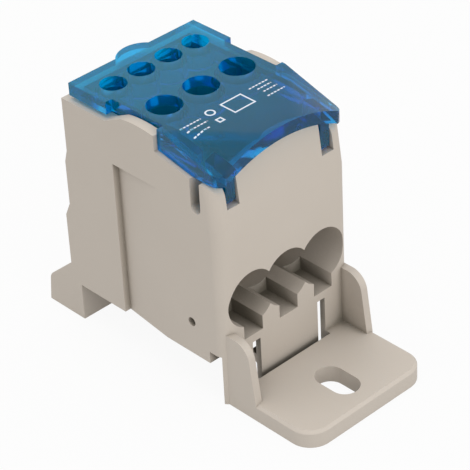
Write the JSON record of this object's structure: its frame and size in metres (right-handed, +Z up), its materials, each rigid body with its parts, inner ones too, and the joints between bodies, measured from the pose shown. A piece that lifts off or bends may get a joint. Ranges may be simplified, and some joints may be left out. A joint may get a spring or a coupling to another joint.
{
  "type": "rail-mounted distribution block",
  "caption": "Grey terminal housing on two feet with overlapping round wire entries, clamp screws in a brass block and a clear blue arched cover that hinges at the front.",
  "frame": {"origin": "on the mounting surface, in the middle of the length and of the width", "axes": "+X towards the front wire entries, +Y across the width, +Z up from the panel"},
  "size_m": [0.0654, 0.03, 0.0493],
  "materials": {
    "housing_plastic": "fine matt moulded grey",
    "clear_blue_plastic": "glossy clear blue plastic",
    "plated_brass": "bright tin plate",
    "zinc_steel": "zinc plate"
  },
  "bodies": {
    "housing": {"housing": "housing_plastic", "conductor_block": "plated_brass", "block_screw": "zinc_steel"},
    "cover": {"cover": "clear_blue_plastic"},
    "clamp_screw_large_1": {"clamp_screw_large_1": "zinc_steel"},
    "clamp_screw_large_2": {"clamp_screw_large_2": "zinc_steel"},
    "clamp_screw_large_3": {"clamp_screw_large_3": "zinc_steel"},
    "clamp_screw_small_1": {"clamp_screw_small_1": "zinc_steel"},
    "clamp_screw_small_2": {"clamp_screw_small_2": "zinc_steel"},
    "clamp_screw_small_3": {"clamp_screw_small_3": "zinc_steel"},
    "clamp_screw_small_4": {"clamp_screw_small_4": "zinc_steel"}
  },
  "joints": [
    {"name": "cover_hinge", "type": "hinge", "parent": "housing", "child": "cover", "pos_m": [0.0115, 0, 0.041], "axis": [0, 1, 0], "range_deg": [0, 100]},
    {"name": "clamp_screw_large_1_travel", "type": "slide", "parent": "housing", "child": "clamp_screw_large_1", "axis": [0, 0, 1], "range_m": [-0.0041, 0.002]},
    {"name": "clamp_screw_large_2_travel", "type": "slide", "parent": "housing", "child": "clamp_screw_large_2", "axis": [0, 0, 1], "range_m": [-0.0041, 0.002]},
    {"name": "clamp_screw_large_3_travel", "type": "slide", "parent": "housing", "child": "clamp_screw_large_3", "axis": [0, 0, 1], "range_m": [-0.0041, 0.002]},
    {"name": "clamp_screw_small_1_travel", "type": "slide", "parent": "housing", "child": "clamp_screw_small_1", "axis": [0, 0, 1], "range_m": [-0.0029, 0.002]},
    {"name": "clamp_screw_small_2_travel", "type": "slide", "parent": "housing", "child": "clamp_screw_small_2", "axis": [0, 0, 1], "range_m": [-0.0029, 0.002]},
    {"name": "clamp_screw_small_3_travel", "type": "slide", "parent": "housing", "child": "clamp_screw_small_3", "axis": [0, 0, 1], "range_m": [-0.0029, 0.002]},
    {"name": "clamp_screw_small_4_travel", "type": "slide", "parent": "housing", "child": "clamp_screw_small_4", "axis": [0, 0, 1], "range_m": [-0.0029, 0.002]}
  ]
}
